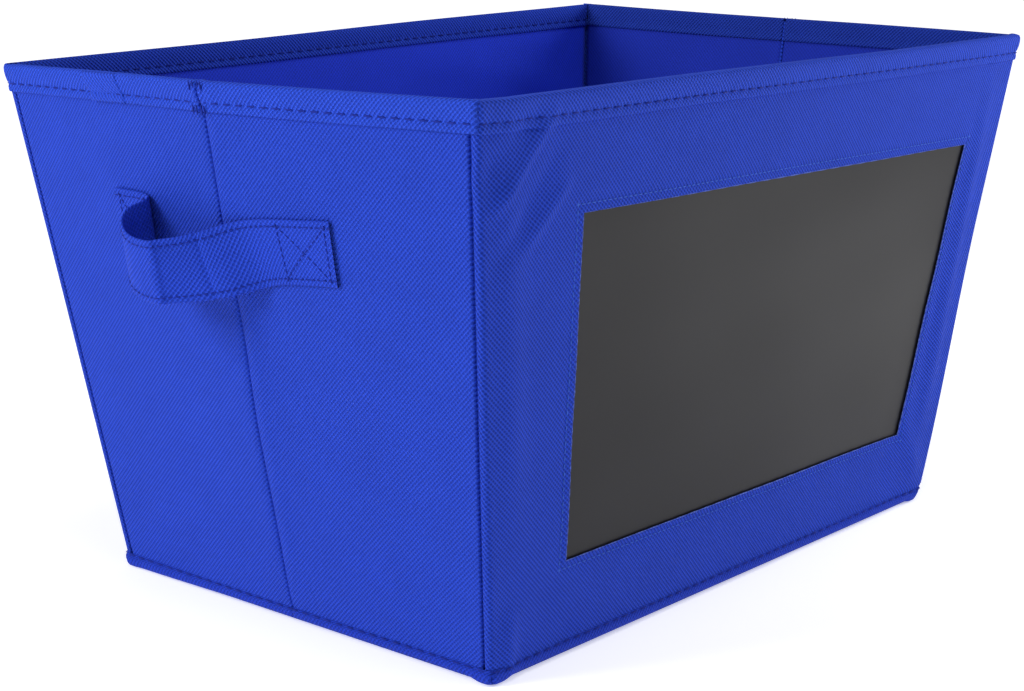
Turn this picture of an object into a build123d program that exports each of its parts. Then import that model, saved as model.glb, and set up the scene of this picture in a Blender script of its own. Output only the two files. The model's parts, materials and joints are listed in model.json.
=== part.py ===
from build123d import *
import os
from dataclasses import dataclass
from math import atan, cos, sin

# A fabric storage bin: four board-stiffened walls that lean outward from a soft base. Each end wall is
# two halves that fold inward at an upright crease, so the bin collapses flat against its back wall.
# Millimetres. +X runs along the bin, -Y is the front with the chalkboard, +Z is up, the floor is Z = 0.

# overall sizes, over the fabric
height = 250.0
top_length = 430.0
top_width = 291.0
base_length = 350.0

# wall layers, from the outside in
skin_thickness = 0.6
board_thickness = 2.0
lining_thickness = 0.4
chalkboard_thickness = 0.4

# edge bindings: a folded tape over the rim and a rolled seam round the base
tape_thickness = 0.5
rim_leg = 12.5
base_seam_height = 5.1
base_panel_thickness = 0.8
seam_clearance = 0.3

# folds
crease_gap = 0.15
corner_clearance = 0.4
open_corner_clearance = 1.2

# chalkboard window: the widths of blue fabric left round it on the front panel
window_top_border = 51.0
window_bottom_border = 44.0
window_high_side_border = 50.0
window_low_side_border = 42.5
window_offset = 8.7
window_radius = 1.5
chalkboard_margin = 9.0

# carrying handles, one sewn to each end wall
handle_width = 28.0
handle_drop = 68.5
handle_half_span = 65.0
handle_patch_length = 28.0
handle_offset = 6.0
handle_thickness = 1.2
handle_bulge = 28.0
handle_seat = 0.3

# loose base insert: a hardboard sheet in a sewn cover
insert_clearance = 1.5
insert_lift_gap = 0.4
insert_thickness = 3.8
insert_cover_thickness = 0.5
insert_radius = 3.0
insert_fit = 0.05

wall_thickness = skin_thickness + board_thickness + lining_thickness
bound_thickness = wall_thickness + 2 * tape_thickness

# All four corner lines meet at one point far below the base, so every fold line passes through it and
# the folded walls nest. That fixes the base width from the other three sizes.
base_width = top_width * base_length / top_length
end_slope = (top_length - base_length) / 2 / height
side_slope = (top_width - base_width) / 2 / height
end_tilt = atan(end_slope)
side_tilt = atan(side_slope)

seam_bottom = base_panel_thickness + seam_clearance
seam_top = seam_bottom + base_seam_height
wall_bottom = seam_top + seam_clearance


@dataclass
class Wall:
    """One flat wall or half wall; u runs along it, v up it, and each end is u = start + lean * v."""
    name: str
    plane: Plane
    tilt: float
    left: tuple
    right: tuple

    def outline(self, low, high):
        """The four corners of the wall between two heights along its slope."""
        u = [start + lean * v for v in (low, high) for start, lean in (self.left, self.right)]
        return [(u[0], low), (u[1], low), (u[3], high), (u[2], high)]

    def along(self, z):
        """The distance up the slope at which the outer face reaches height z."""
        return z / cos(self.tilt)

    def top(self):
        """Where the boards and fabrics stop, so that the folded rim tape ends at the full height."""
        return self.along(height - tape_thickness - bound_thickness * sin(self.tilt))


def save(part, name):
    """Label a finished piece and write its STEP file."""
    part.label = name
    export_step(part, f"parts/{name}.step")


def add_layer(wall, depth, thickness, low, high):
    """Add a flat layer that starts at a depth under the wall's outer face."""
    with BuildSketch(wall.plane.offset(-depth)) as face:
        Polygon(*wall.outline(low, high), align=None)
    extrude(face.sketch, amount=-thickness)


# The planes lie on the outer faces: u points right seen from outside, v up the slope, the normal outward.
left_plane = Plane(origin=(-base_length / 2, 0, 0), x_dir=(0, -1, 0), z_dir=(-cos(end_tilt), 0, -sin(end_tilt)))
right_plane = Plane(origin=(base_length / 2, 0, 0), x_dir=(0, 1, 0), z_dir=(cos(end_tilt), 0, -sin(end_tilt)))
front_plane = Plane(origin=(0, -base_width / 2, 0), x_dir=(1, 0, 0), z_dir=(0, -cos(side_tilt), -sin(side_tilt)))
back_plane = Plane(origin=(0, base_width / 2, 0), x_dir=(-1, 0, 0), z_dir=(0, cos(side_tilt), -sin(side_tilt)))

# Front and back run from corner to corner. The end walls butt against their inner faces, clear of the
# rim tape's inner leg, and stop just short of the crease.
side_lean = end_slope * cos(side_tilt)
side_end = (base_length / 2, side_lean)
end_lean = side_slope * cos(end_tilt)
end_reach = base_width / 2 - (wall_thickness + tape_thickness + corner_clearance) / cos(side_tilt)
open_reach = base_width / 2 - (wall_thickness + tape_thickness + open_corner_clearance) / cos(side_tilt)


def mirrored(end):
    """The same wall end on the negative side."""
    return (-end[0], -end[1])


walls = {
    "back": Wall("back", back_plane, side_tilt, mirrored(side_end), side_end),
    "front": Wall("front", front_plane, side_tilt, mirrored(side_end), side_end),
    "left_rear": Wall("left_rear", left_plane, end_tilt, (-end_reach, -end_lean), (-crease_gap, 0)),
    "left_front": Wall("left_front", left_plane, end_tilt, (crease_gap, 0), (end_reach, end_lean)),
    "right_rear": Wall("right_rear", right_plane, end_tilt, (crease_gap, 0), (end_reach, end_lean)),
    "right_front": Wall("right_front", right_plane, end_tilt, (-open_reach, -end_lean), (-crease_gap, 0)),
}


def window_corners(margin):
    """The chalkboard window's corners in the front plane, grown by a margin."""
    low_height = window_bottom_border
    high_height = height - window_top_border
    bottom = base_length / 2 + end_slope * low_height - window_low_side_border + margin
    top = base_length / 2 + end_slope * high_height - window_high_side_border + margin
    low = walls["front"].along(low_height) - margin
    high = walls["front"].along(high_height) + margin
    return [
        (window_offset - bottom, low),
        (window_offset + bottom, low),
        (window_offset + top, high),
        (window_offset - top, high),
    ]


def build_wall(wall):
    """The five pieces of one wall: outer fabric, board, lining, rim tape and base seam."""
    low = wall.along(wall_bottom)
    high = wall.top()
    has_window = wall.name == "front"
    board_depth = skin_thickness + (chalkboard_thickness if has_window else 0)
    board_end = skin_thickness + board_thickness

    with BuildPart() as outer_panel:
        add_layer(wall, 0, skin_thickness, low, high)
        if has_window:
            with BuildSketch(wall.plane) as window:
                Polygon(*window_corners(0), align=None)
                fillet(window.vertices(), window_radius)
            extrude(amount=-skin_thickness, mode=Mode.SUBTRACT)
    save(outer_panel.part, f"{wall.name}_outer_panel")

    with BuildPart() as board:
        add_layer(wall, board_depth, board_end - board_depth, low, high)
    save(board.part, f"{wall.name}_board")

    with BuildPart() as lining:
        add_layer(wall, board_end, lining_thickness, low, high)
    save(lining.part, f"{wall.name}_lining")

    with BuildPart() as rim_binding:
        add_layer(wall, -tape_thickness, tape_thickness, high - rim_leg, high)
        add_layer(wall, wall_thickness, tape_thickness, high - rim_leg, high)
        add_layer(wall, -tape_thickness, bound_thickness, high, high + tape_thickness)
    save(rim_binding.part, f"{wall.name}_rim_binding")

    with BuildPart() as base_binding:
        add_layer(wall, -tape_thickness, bound_thickness, wall.along(seam_bottom), wall.along(seam_top))
    save(base_binding.part, f"{wall.name}_base_binding")


def build_chalkboard():
    """The writable sheet behind the window, caught by the seam round the window's edge."""
    with BuildPart() as chalkboard_sheet:
        with BuildSketch(front_plane.offset(-skin_thickness)):
            Polygon(*window_corners(chalkboard_margin), align=None)
        extrude(amount=-chalkboard_thickness)
    save(chalkboard_sheet.part, "chalkboard_sheet")


def build_handle(name, end_plane, centre):
    """A webbing strap: a flat patch at each end, sewn to the wall, and a loop that bows outward."""
    middle = (height - handle_drop) / cos(end_tilt)
    strap_plane = Plane(
        origin=end_plane.from_local_coords((centre, middle - handle_width / 2, 0)),
        x_dir=end_plane.x_dir,
        z_dir=end_plane.y_dir,
    )
    # in the strap plane, +Y points into the bin, so the strap's own heights are negative
    root = handle_half_span - handle_patch_length
    inside = -handle_seat
    outside = -handle_seat - handle_thickness
    with BuildPart() as handle:
        with BuildSketch(strap_plane):
            with BuildLine():
                outer_bow = ThreePointArc((-root, outside), (0, -handle_bulge), (root, outside))
                patch_face = Polyline(
                    outer_bow @ 1,
                    (handle_half_span, outside),
                    (handle_half_span, inside),
                    (root - handle_thickness, inside),
                )
                inner_bow = ThreePointArc(
                    patch_face @ 1,
                    (0, handle_thickness - handle_bulge),
                    (handle_thickness - root, inside),
                )
                Polyline(
                    inner_bow @ 1,
                    (-handle_half_span, inside),
                    (-handle_half_span, outside),
                    outer_bow @ 0,
                )
            make_face()
        extrude(amount=handle_width)
    save(handle.part, name)


def build_base():
    """The soft base panel that the walls' lower edges are sewn to."""
    with BuildPart() as base_panel:
        with BuildSketch():
            Rectangle(base_length, base_width)
        extrude(amount=base_panel_thickness)
    save(base_panel.part, "base_panel")


def build_insert():
    """The loose stiff sheet on the base: a board inside a fabric cover."""
    edge = bound_thickness + insert_clearance
    length = base_length - 2 * edge
    width = base_width - 2 * edge
    floor = base_panel_thickness + insert_lift_gap
    cover_inset = 2 * insert_cover_thickness

    with BuildPart() as insert_cover:
        with BuildSketch(Plane.XY.offset(floor)):
            RectangleRounded(length, width, insert_radius)
        extrude(amount=insert_thickness)
        with BuildSketch(Plane.XY.offset(floor + insert_cover_thickness)):
            Rectangle(length - cover_inset, width - cover_inset)
        extrude(amount=insert_thickness - cover_inset, mode=Mode.SUBTRACT)
    save(insert_cover.part, "insert_cover")

    board_inset = cover_inset + 2 * insert_fit
    with BuildPart() as insert_board:
        with BuildSketch(Plane.XY.offset(floor + insert_cover_thickness + insert_fit)):
            Rectangle(length - board_inset, width - board_inset)
        extrude(amount=insert_thickness - board_inset)
    save(insert_board.part, "insert_board")


os.makedirs("parts", exist_ok=True)
for wall in walls.values():
    build_wall(wall)
build_chalkboard()
build_handle("left_handle", left_plane, -handle_offset)
build_handle("right_handle", right_plane, handle_offset)
build_base()
build_insert()
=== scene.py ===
import json
from math import atan, cos, pi, radians, sin

import bmesh
import bpy
import numpy as np
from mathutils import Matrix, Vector


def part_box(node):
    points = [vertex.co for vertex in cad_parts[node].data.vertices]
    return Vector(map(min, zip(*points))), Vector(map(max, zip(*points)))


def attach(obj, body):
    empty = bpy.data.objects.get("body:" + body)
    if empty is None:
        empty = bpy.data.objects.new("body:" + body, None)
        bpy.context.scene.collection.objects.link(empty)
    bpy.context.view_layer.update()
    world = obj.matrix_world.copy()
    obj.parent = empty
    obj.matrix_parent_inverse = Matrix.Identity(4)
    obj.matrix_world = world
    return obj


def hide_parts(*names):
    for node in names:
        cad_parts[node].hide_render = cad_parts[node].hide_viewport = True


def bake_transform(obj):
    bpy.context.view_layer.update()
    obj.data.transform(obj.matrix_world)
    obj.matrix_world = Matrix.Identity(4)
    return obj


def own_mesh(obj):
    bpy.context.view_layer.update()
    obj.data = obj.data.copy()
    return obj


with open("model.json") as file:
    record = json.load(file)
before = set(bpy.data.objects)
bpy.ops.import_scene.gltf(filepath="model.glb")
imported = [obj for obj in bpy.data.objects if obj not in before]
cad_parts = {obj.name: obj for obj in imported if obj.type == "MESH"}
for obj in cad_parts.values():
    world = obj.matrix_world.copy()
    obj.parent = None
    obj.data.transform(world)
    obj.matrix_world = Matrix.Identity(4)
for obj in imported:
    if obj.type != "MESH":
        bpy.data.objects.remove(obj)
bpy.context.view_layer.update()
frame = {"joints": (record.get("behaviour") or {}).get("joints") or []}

MM = 0.001

# ---- The studio -------------------------------------------------------------------------------------
# A plain white floor and room, a large soft key light on the left, a small light low on the right and
# one overhead. The camera stands a little above the rim and looks down at the near corner.
scene = bpy.context.scene
scene.view_settings.view_transform = "Standard"

camera_data = bpy.data.cameras.new("camera")
camera_data.lens = 73.67
camera_data.sensor_width = 36.0
camera = bpy.data.objects.new("camera", camera_data)
camera.location = (-0.7992, -0.6610, 0.3405)
camera.rotation_euler = (radians(90 - 13.15), radians(-0.23), radians(-49.5))
scene.collection.objects.link(camera)
scene.camera = camera

world = bpy.data.worlds.new("white_room")
world.use_nodes = True
world.node_tree.nodes["Background"].inputs["Color"].default_value = (1, 1, 1, 1)
world.node_tree.nodes["Background"].inputs["Strength"].default_value = 0.24
scene.world = world


def soft_light(name, place, target, size, power):
    """A square area light that looks at a point."""
    data = bpy.data.lights.new(name, "AREA")
    data.size = size
    data.energy = power
    light = bpy.data.objects.new(name, data)
    light.location = place
    light.rotation_euler = (Vector(target) - Vector(place)).to_track_quat("-Z", "Y").to_euler()
    light.visible_camera = False
    scene.collection.objects.link(light)


middle = (0, 0, 0.12)
soft_light("key", (-1.6, 0.85, 1.05), middle, 0.9, 29)
soft_light("side", (0.58, -0.50, 0.38), (0.14, -0.12, 0.14), 0.25, 2.6)
soft_light("top", (-0.25, -0.55, 1.8), (0, 0.05, 0.2), 0.8, 9)

floor_material = bpy.data.materials.new("studio_floor")
floor_material.use_nodes = True
floor_shader = floor_material.node_tree.nodes["Principled BSDF"]
floor_shader.inputs["Base Color"].default_value = (0.93, 0.93, 0.93, 1)
floor_shader.inputs["Roughness"].default_value = 0.9
floor_shader.inputs["Specular IOR Level"].default_value = 0.1
floor_shader.inputs["Emission Color"].default_value = (1, 1, 1, 1)
floor_place = floor_material.node_tree.nodes.new("ShaderNodeTexCoord")
floor_distance = floor_material.node_tree.nodes.new("ShaderNodeVectorMath")
floor_distance.operation = "LENGTH"
floor_glow = floor_material.node_tree.nodes.new("ShaderNodeMapRange")
floor_glow.inputs["From Min"].default_value = 0.5
floor_glow.inputs["From Max"].default_value = 2.2
floor_glow.inputs["To Min"].default_value = 0.44
floor_glow.inputs["To Max"].default_value = 0.85
floor_links = floor_material.node_tree.links
floor_links.new(floor_place.outputs["Object"], floor_distance.inputs[0])
floor_links.new(floor_distance.outputs["Value"], floor_glow.inputs["Value"])
floor_links.new(floor_glow.outputs[0], floor_shader.inputs["Emission Strength"])

floor_mesh = bpy.data.meshes.new("studio_floor")
floor_half = 30.0
floor_height = -0.5 * MM
floor_corners = [
    (-floor_half, -floor_half),
    (floor_half, -floor_half),
    (floor_half, floor_half),
    (-floor_half, floor_half),
]
floor_mesh.from_pydata([(x, y, floor_height) for x, y in floor_corners], [], [(0, 1, 2, 3)])
floor_mesh.materials.append(floor_material)
floor = bpy.data.objects.new("studio_floor", floor_mesh)
scene.collection.objects.link(floor)

# ---- Front and back outer panels --------------------------------------------------------------------
# One sheet of royal blue bonded cloth each, rolled hot so that slanting rows of small dimples cover it.
# It covers its board, turns round both corners and is caught in the corner seam on the end wall's
# side. The front one has the window cut in it, and its raw edge is held by a seam.


def new_group(name, inputs, outputs):
    """A shader node group with named inputs (name, type, default) and outputs (name, type)."""
    tree = bpy.data.node_groups.new(name, "ShaderNodeTree")
    for label, kind, default in inputs:
        socket = tree.interface.new_socket(label, in_out="INPUT", socket_type=kind)
        if default is not None:
            socket.default_value = default
    for label, kind in outputs:
        tree.interface.new_socket(label, in_out="OUTPUT", socket_type=kind)
    return tree, tree.nodes.new("NodeGroupInput"), tree.nodes.new("NodeGroupOutput")


def math_node(tree, operation, first, second=None, third=None):
    """A Math node whose inputs are numbers or sockets; returns its output."""
    node = tree.nodes.new("ShaderNodeMath")
    node.operation = operation
    for socket, value in zip(node.inputs, (first, second, third)):
        if isinstance(value, (int, float)):
            socket.default_value = value
        elif value is not None:
            tree.links.new(value, socket)
    return node.outputs[0]


dimple_tree, dimple_in, dimple_out = new_group(
    "dimpled_nonwoven",
    [
        ("Vector", "NodeSocketVector", None),
        ("Row Angle", "NodeSocketFloat", 0.7),
        ("Row Pitch", "NodeSocketFloat", 0.00155),
        ("Dimple Pitch", "NodeSocketFloat", 0.00158),
        ("Fibre Colour", "NodeSocketColor", (0.03, 0.07, 0.55, 1)),
        ("Dimple Colour", "NodeSocketColor", (0.015, 0.035, 0.35, 1)),
        ("Base Roughness", "NodeSocketFloat", 0.7),
    ],
    [("Color", "NodeSocketColor"), ("Roughness", "NodeSocketFloat"), ("Height", "NodeSocketFloat")],
)
turn = dimple_tree.nodes.new("ShaderNodeVectorRotate")
turn.rotation_type = "Z_AXIS"
dimple_tree.links.new(dimple_in.outputs["Vector"], turn.inputs["Vector"])
dimple_tree.links.new(dimple_in.outputs["Row Angle"], turn.inputs["Angle"])
split = dimple_tree.nodes.new("ShaderNodeSeparateXYZ")
dimple_tree.links.new(turn.outputs["Vector"], split.inputs[0])
across = math_node(dimple_tree, "DIVIDE", split.outputs["Y"], dimple_in.outputs["Row Pitch"])
along_row = math_node(dimple_tree, "DIVIDE", split.outputs["X"], dimple_in.outputs["Dimple Pitch"])
cell_across = math_node(dimple_tree, "SUBTRACT", math_node(dimple_tree, "FRACT", across), 0.5)
cell_along = math_node(dimple_tree, "SUBTRACT", math_node(dimple_tree, "FRACT", along_row), 0.5)
oval = math_node(
    dimple_tree,
    "SQRT",
    math_node(
        dimple_tree,
        "ADD",
        math_node(dimple_tree, "POWER", math_node(dimple_tree, "MULTIPLY", cell_across, 1.65), 2),
        math_node(dimple_tree, "POWER", math_node(dimple_tree, "MULTIPLY", cell_along, 1.2), 2),
    ),
)
raised = dimple_tree.nodes.new("ShaderNodeMapRange")
raised.interpolation_type = "SMOOTHSTEP"
raised.inputs["From Min"].default_value = 0.25
raised.inputs["From Max"].default_value = 0.85
dimple_tree.links.new(oval, raised.inputs["Value"])

fibres = dimple_tree.nodes.new("ShaderNodeTexNoise")
fibres.inputs["Scale"].default_value = 1500
fibres.inputs["Detail"].default_value = 3
dimple_tree.links.new(dimple_in.outputs["Vector"], fibres.inputs["Vector"])
cloudy = dimple_tree.nodes.new("ShaderNodeTexNoise")
cloudy.inputs["Scale"].default_value = 38
cloudy.inputs["Detail"].default_value = 5
cloudy.inputs["Roughness"].default_value = 0.6
dimple_tree.links.new(dimple_in.outputs["Vector"], cloudy.inputs["Vector"])

tint = dimple_tree.nodes.new("ShaderNodeMix")
tint.data_type = "RGBA"
dimple_tree.links.new(dimple_in.outputs["Dimple Colour"], tint.inputs["A"])
dimple_tree.links.new(dimple_in.outputs["Fibre Colour"], tint.inputs["B"])
tint_share = math_node(dimple_tree, "MULTIPLY_ADD", raised.outputs[0], 0.80, 0.20)
dimple_tree.links.new(tint_share, tint.inputs["Factor"])
mottle = dimple_tree.nodes.new("ShaderNodeHueSaturation")
mottle_value = math_node(dimple_tree, "MULTIPLY_ADD", cloudy.outputs["Fac"], 0.22, 0.89)
grain_value = math_node(dimple_tree, "MULTIPLY_ADD", fibres.outputs["Fac"], 0.7, 0.65)
dimple_tree.links.new(tint.outputs["Result"], mottle.inputs["Color"])
brightness = math_node(dimple_tree, "MULTIPLY", mottle_value, grain_value)
dimple_tree.links.new(brightness, mottle.inputs["Value"])
dimple_tree.links.new(mottle.outputs["Color"], dimple_out.inputs["Color"])
cloth_rough = math_node(dimple_tree, "MULTIPLY_ADD", fibres.outputs["Fac"], 0.16, -0.08)
dimple_tree.links.new(
    math_node(dimple_tree, "ADD", dimple_in.outputs["Base Roughness"], cloth_rough),
    dimple_out.inputs["Roughness"],
)
dimple_height = math_node(dimple_tree, "MULTIPLY_ADD", fibres.outputs["Fac"], 0.35, raised.outputs[0])
dimple_tree.links.new(dimple_height, dimple_out.inputs["Height"])


dimple_row_pitch = 1.55 * MM
dimple_pitch = 1.58 * MM


def cloth_material(name, fibre, dimple, row_angle, roughness=0.78, bump=0.9, inner_painted_shade=1.0):
    """A Principled cloth that reads the dimple group in the piece's own flat-cloth UV map.

    On a tape the UV map's Y is above 0 on the bin's inner side, where the colour is darkened as painted
    shade for the inside of the bin.
    """
    material = bpy.data.materials.new(name)
    material.use_nodes = True
    tree = material.node_tree
    shader = tree.nodes["Principled BSDF"]
    shader.inputs["Specular IOR Level"].default_value = 0.13
    shader.inputs["Sheen Weight"].default_value = 0.04
    shader.inputs["Sheen Roughness"].default_value = 0.45
    shader.inputs["Sheen Tint"].default_value = (0.35, 0.5, 1.0, 1)
    uv = tree.nodes.new("ShaderNodeUVMap")
    uv.uv_map = "flat_cloth"
    group = tree.nodes.new("ShaderNodeGroup")
    group.node_tree = dimple_tree
    group.inputs["Row Angle"].default_value = row_angle
    group.inputs["Row Pitch"].default_value = dimple_row_pitch
    group.inputs["Dimple Pitch"].default_value = dimple_pitch
    group.inputs["Fibre Colour"].default_value = (*fibre, 1)
    group.inputs["Dimple Colour"].default_value = (*dimple, 1)
    group.inputs["Base Roughness"].default_value = roughness
    relief_node = tree.nodes.new("ShaderNodeBump")
    relief_node.inputs["Strength"].default_value = bump
    relief_node.inputs["Distance"].default_value = 0.45 * MM
    tree.links.new(uv.outputs["UV"], group.inputs["Vector"])
    # a tape's inner side is darkened by a set factor: painted shade for the inside of the bin
    shaded = tree.nodes.new("ShaderNodeHueSaturation")
    uv_split = tree.nodes.new("ShaderNodeSeparateXYZ")
    tree.links.new(uv.outputs["UV"], uv_split.inputs[0])
    is_inner = math_node(tree, "GREATER_THAN", uv_split.outputs["Y"], 0.0)
    shade = math_node(tree, "MULTIPLY_ADD", is_inner, inner_painted_shade - 1, 1.0)
    tree.links.new(shade, shaded.inputs["Value"])
    tree.links.new(group.outputs["Color"], shaded.inputs["Color"])
    tree.links.new(shaded.outputs["Color"], shader.inputs["Base Color"])
    tree.links.new(group.outputs["Roughness"], shader.inputs["Roughness"])
    tree.links.new(group.outputs["Height"], relief_node.inputs["Height"])
    tree.links.new(relief_node.outputs["Normal"], shader.inputs["Normal"])
    return material


royal_dimple = (0.0070, 0.0245, 0.295)
front_dimple = (0.0042, 0.0155, 0.215)
rising_rows = radians(-44)
falling_rows = radians(44)
front_cloth = cloth_material("front_panel_cloth", (0.0172, 0.0640, 0.605), front_dimple, falling_rows)

# the walls' slopes come from the fold lines of the frame, which all meet in one point
joints = {joint["name"]: joint for joint in frame["joints"]}
crease_line = joints["left_crease_fold"]["axis"]
corner_line = joints["left_rear_corner_fold"]["axis"]
end_slope = abs(crease_line[0] / crease_line[2])
side_slope = abs(corner_line[1] / corner_line[2])
end_tilt = atan(end_slope)
side_tilt = atan(side_slope)
base_half_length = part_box("base_panel")[1].x
base_half_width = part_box("base_panel")[1].y
rim_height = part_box("front_rim_binding")[1].z
cloth_thickness = 0.5 * MM

WALLS = {
    "front": ((0, -base_half_width, 0), (1, 0, 0), (0, -sin(side_tilt), cos(side_tilt))),
    "back": ((0, base_half_width, 0), (-1, 0, 0), (0, sin(side_tilt), cos(side_tilt))),
    "left": ((-base_half_length, 0, 0), (0, -1, 0), (-sin(end_tilt), 0, cos(end_tilt))),
    "right": ((base_half_length, 0, 0), (0, 1, 0), (sin(end_tilt), 0, cos(end_tilt))),
}
OUTWARD = {
    "front": np.array((0, -cos(side_tilt), -sin(side_tilt))),
    "back": np.array((0, cos(side_tilt), -sin(side_tilt))),
    "left": np.array((-cos(end_tilt), 0, -sin(end_tilt))),
    "right": np.array((cos(end_tilt), 0, -sin(end_tilt))),
}
TILT = {"front": side_tilt, "back": side_tilt, "left": end_tilt, "right": end_tilt}
HALF_BASE = {
    "front": base_half_length,
    "back": base_half_length,
    "left": base_half_width,
    "right": base_half_width,
}
CROSS_SLOPE = {"front": end_slope, "back": end_slope, "left": side_slope, "right": side_slope}


def half_span(wall, v):
    """Half the wall's length, to the outer corner line, at a distance v up its slope."""
    return HALF_BASE[wall] + CROSS_SLOPE[wall] * cos(TILT[wall]) * v


def slope_top(wall):
    """The distance up the slope to the rim."""
    return rim_height / cos(TILT[wall])


def soft_step(low, high, value):
    """0 below low, 1 above high, smooth between."""
    share = np.clip((value - low) / (high - low), 0, 1)
    return share * share * (3 - 2 * share)


def crease_ridge(u, v, start, end, width, height):
    """A soft ridge or valley in the cloth along a line from start to end, fading at both ends."""
    start, end = np.array(start) * MM, np.array(end) * MM
    run = end - start
    length = np.hypot(*run)
    run = run / length
    ahead = (u - start[0]) * run[0] + (v - start[1]) * run[1]
    aside = (u - start[0]) * run[1] - (v - start[1]) * run[0]
    fade = soft_step(-0.25, 0.2, ahead / length) * (1 - soft_step(0.75, 1.2, ahead / length))
    return height * MM * np.exp(-((aside / (width * MM)) ** 2)) * fade


def slack(u, v, seed):
    """The gentle unevenness of cloth held at its edges: a few slow waves that don't repeat."""
    total = 0
    for turn_number in range(5):
        angle = seed * 1.7 + turn_number * 2.4
        pitch = (0.055 + 0.027 * turn_number) * (1 + 0.2 * sin(seed + turn_number))
        wave = (u * cos(angle) + v * sin(angle)) / pitch * 2 * pi
        total = total + np.sin(wave + seed * turn_number) * (0.32 - 0.035 * turn_number)
    return total


WALL_RELIEF = {}


def relief(wall, u, v):
    """How far the cloth stands out from the flat wall, in metres."""
    u, v = np.broadcast_arrays(np.asarray(u, float), np.asarray(v, float))
    edge = half_span(wall, v) - np.abs(u)
    inside = soft_step(0.0, 0.03, edge) * soft_step(0.004, 0.04, v)
    return WALL_RELIEF[wall](u, v, edge, inside)


# soft pulls in the front's cloth: start and end along and up the wall, width and height, all in mm
FRONT_PULLS = [
    ((-173, 241), (-201, 208), 3.2, 2.3),
    ((-180, 246), (-209, 218), 5.0, -1.3),
    ((-158, 214), (-182, 190), 3.4, 1.9),
    ((-165, 226), (-196, 186), 5.0, -1.4),
    ((-168, 30), (-165, 3), 5.0, 2.0),
    ((-196, 232), (-172, 70), 8.5, 2.0),
    ((-152, 30), (-120, 9), 9.0, -0.8),
    ((186, 205), (165, 45), 6.0, 1.3),
    ((176, 200), (156, 50), 5.0, -0.5),
    ((150, 44), (168, 16), 6.0, 1.2),
    ((128, 30), (160, 8), 8.0, -0.7),
]


def front_relief(u, v, edge, inside):
    """Puffed up a little all over, with pulls that run into its corners."""
    puff = 0.9 * MM * soft_step(0, 0.025, edge) * soft_step(0, 0.03, v)
    waves = 0.3 * MM * slack(u, v, 2.9) * inside
    pulls = sum(crease_ridge(u, v, *pull) for pull in FRONT_PULLS)
    return puff + waves + pulls


def back_relief(u, v, edge, inside):
    """Bowed out in the middle, with two long shallow folds."""
    share_up = np.clip(v / slope_top("back"), 0, 1)
    bow = 1.5 * MM * np.sin(pi * share_up) * soft_step(0, 0.12, edge)
    folds = crease_ridge(u, v, (150, 228), (60, 120), 9, -0.9)
    folds = folds + crease_ridge(u, v, (-60, 232), (-185, 205), 10, -0.8)
    return bow + (0.55 * MM * slack(u, v, 7.7) + folds) * inside


WALL_RELIEF["front"] = front_relief
WALL_RELIEF["back"] = back_relief

# how high or low each corner of the rim sits, by its side in x and y
RIM_LIFT = {(-1, 1): -3.6 * MM, (-1, -1): 1.8 * MM, (1, -1): 0.2 * MM, (1, 1): 2.8 * MM}


def at(wall, u, v, out):
    """Points in the bin's frame: u along the wall, v up it, and out from its cloth surface."""
    origin, along, up = (np.array(part, float) for part in WALLS[wall])
    u, v, out = np.broadcast_arrays(*(np.asarray(part, float) for part in (u, v, out)))
    depth = out + relief(wall, u, v)
    # the cloth bags out over the base seam at the front right corner, on both its walls
    bag = 3.4 * MM * soft_step(0.001, 0.010, v) * (1 - soft_step(0.025, 0.16, v))
    far = half_span(wall, v)
    if wall == "front":
        bag = bag * soft_step(0.055, 0.0, far - u)
        u, depth = u + bag, depth + 0.4 * bag
    if wall == "right":
        bag = bag * soft_step(0.055, 0.0, far + u)
        u, depth = u - 0.4 * bag, depth + bag
    points = origin + u[..., None] * along + v[..., None] * up + depth[..., None] * OUTWARD[wall]
    return lifted(points)


def lifted(points):
    """Moves points as the rim's corners sit, a few millimetres high or low of level."""
    half_length = base_half_length + end_slope * rim_height
    half_width = base_half_width + side_slope * rim_height
    right = np.clip(points[..., 0] / half_length, -1, 1) / 2 + 0.5
    rear = np.clip(points[..., 1] / half_width, -1, 1) / 2 + 0.5
    lift = (
        RIM_LIFT[-1, -1] * (1 - right) * (1 - rear)
        + RIM_LIFT[1, -1] * right * (1 - rear)
        + RIM_LIFT[-1, 1] * (1 - right) * rear
        + RIM_LIFT[1, 1] * right * rear
    )
    # the left end's crease is pulled up as well as out
    lift = lift + 2.2 * MM * (1 - right) ** 8 * np.clip(1 - np.abs(points[..., 1]) / half_width, 0, 1)
    points = points.copy()
    points[..., 2] += lift * np.clip(points[..., 2] / rim_height, 0, 1) ** 1.5
    return points


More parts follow.
